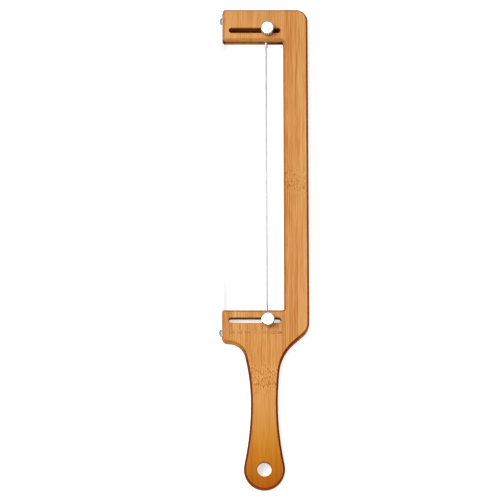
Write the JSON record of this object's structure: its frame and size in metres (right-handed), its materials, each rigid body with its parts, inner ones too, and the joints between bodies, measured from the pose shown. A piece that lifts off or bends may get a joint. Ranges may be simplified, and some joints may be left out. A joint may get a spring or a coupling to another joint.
{
  "type": "bow bread knife with slice guide",
  "caption": "Bow-shaped wooden bread knife: toothed steel strip across the bow, and a guide rod beside it that slides in slots and is clamped by thumb nuts to set the slice.",
  "frame": {"origin": "centre of the hanging hole at mid-thickness of the board", "axes": "+X across the bow from the blade to the spine, +Y along the handle to the tip, +Z from the flat back to the thumb nuts"},
  "size_m": [0.0752, 0.4069, 0.025],
  "materials": {
    "bamboo": "varnished bamboo",
    "blade_steel": "ground",
    "screw_steel": "plain",
    "rod_steel": "polished",
    "fitting_steel": "zinc plated",
    "nut_plating": "nickel plated"
  },
  "bodies": {
    "frame": {"frame": "bamboo", "blade": "blade_steel", "tip_blade_screw": "screw_steel", "handle_blade_screw": "screw_steel"},
    "guide": {"guide_rod": "rod_steel", "tip_guide_eyelet": "fitting_steel", "handle_guide_eyelet": "fitting_steel", "tip_clamp_bolt": "fitting_steel", "handle_clamp_bolt": "fitting_steel"},
    "tip_washer": {"tip_clamp_washer": "fitting_steel"},
    "tip_nut": {"tip_thumb_nut": "nut_plating"},
    "handle_washer": {"handle_clamp_washer": "fitting_steel"},
    "handle_nut": {"handle_thumb_nut": "nut_plating"}
  },
  "joints": [
    {"name": "guide_slide", "type": "slide", "parent": "frame", "child": "guide", "axis": [1, 0, 0], "range_m": [-0.0298, 0.0083]},
    {"name": "tip_washer_lift", "type": "slide", "parent": "guide", "child": "tip_washer", "axis": [0, 0, 1], "range_m": [0, 0.00075]},
    {"name": "tip_nut_turn", "type": "hinge", "parent": "tip_washer", "child": "tip_nut", "pos_m": [0.003, 0.3715, 0.008], "axis": [0, 0, 1], "range_deg": [0, 540]},
    {"name": "handle_washer_lift", "type": "slide", "parent": "guide", "child": "handle_washer", "axis": [0, 0, 1], "range_m": [0, 0.00075]},
    {"name": "handle_nut_turn", "type": "hinge", "parent": "handle_washer", "child": "handle_nut", "pos_m": [0.003, 0.1227, 0.008], "axis": [0, 0, 1], "range_deg": [0, 540]}
  ],
  "couplings": [
    {"joint": "tip_nut_turn", "follows": "tip_washer_lift", "rad_per_m": 12566},
    {"joint": "handle_nut_turn", "follows": "handle_washer_lift", "rad_per_m": 12566}
  ]
}
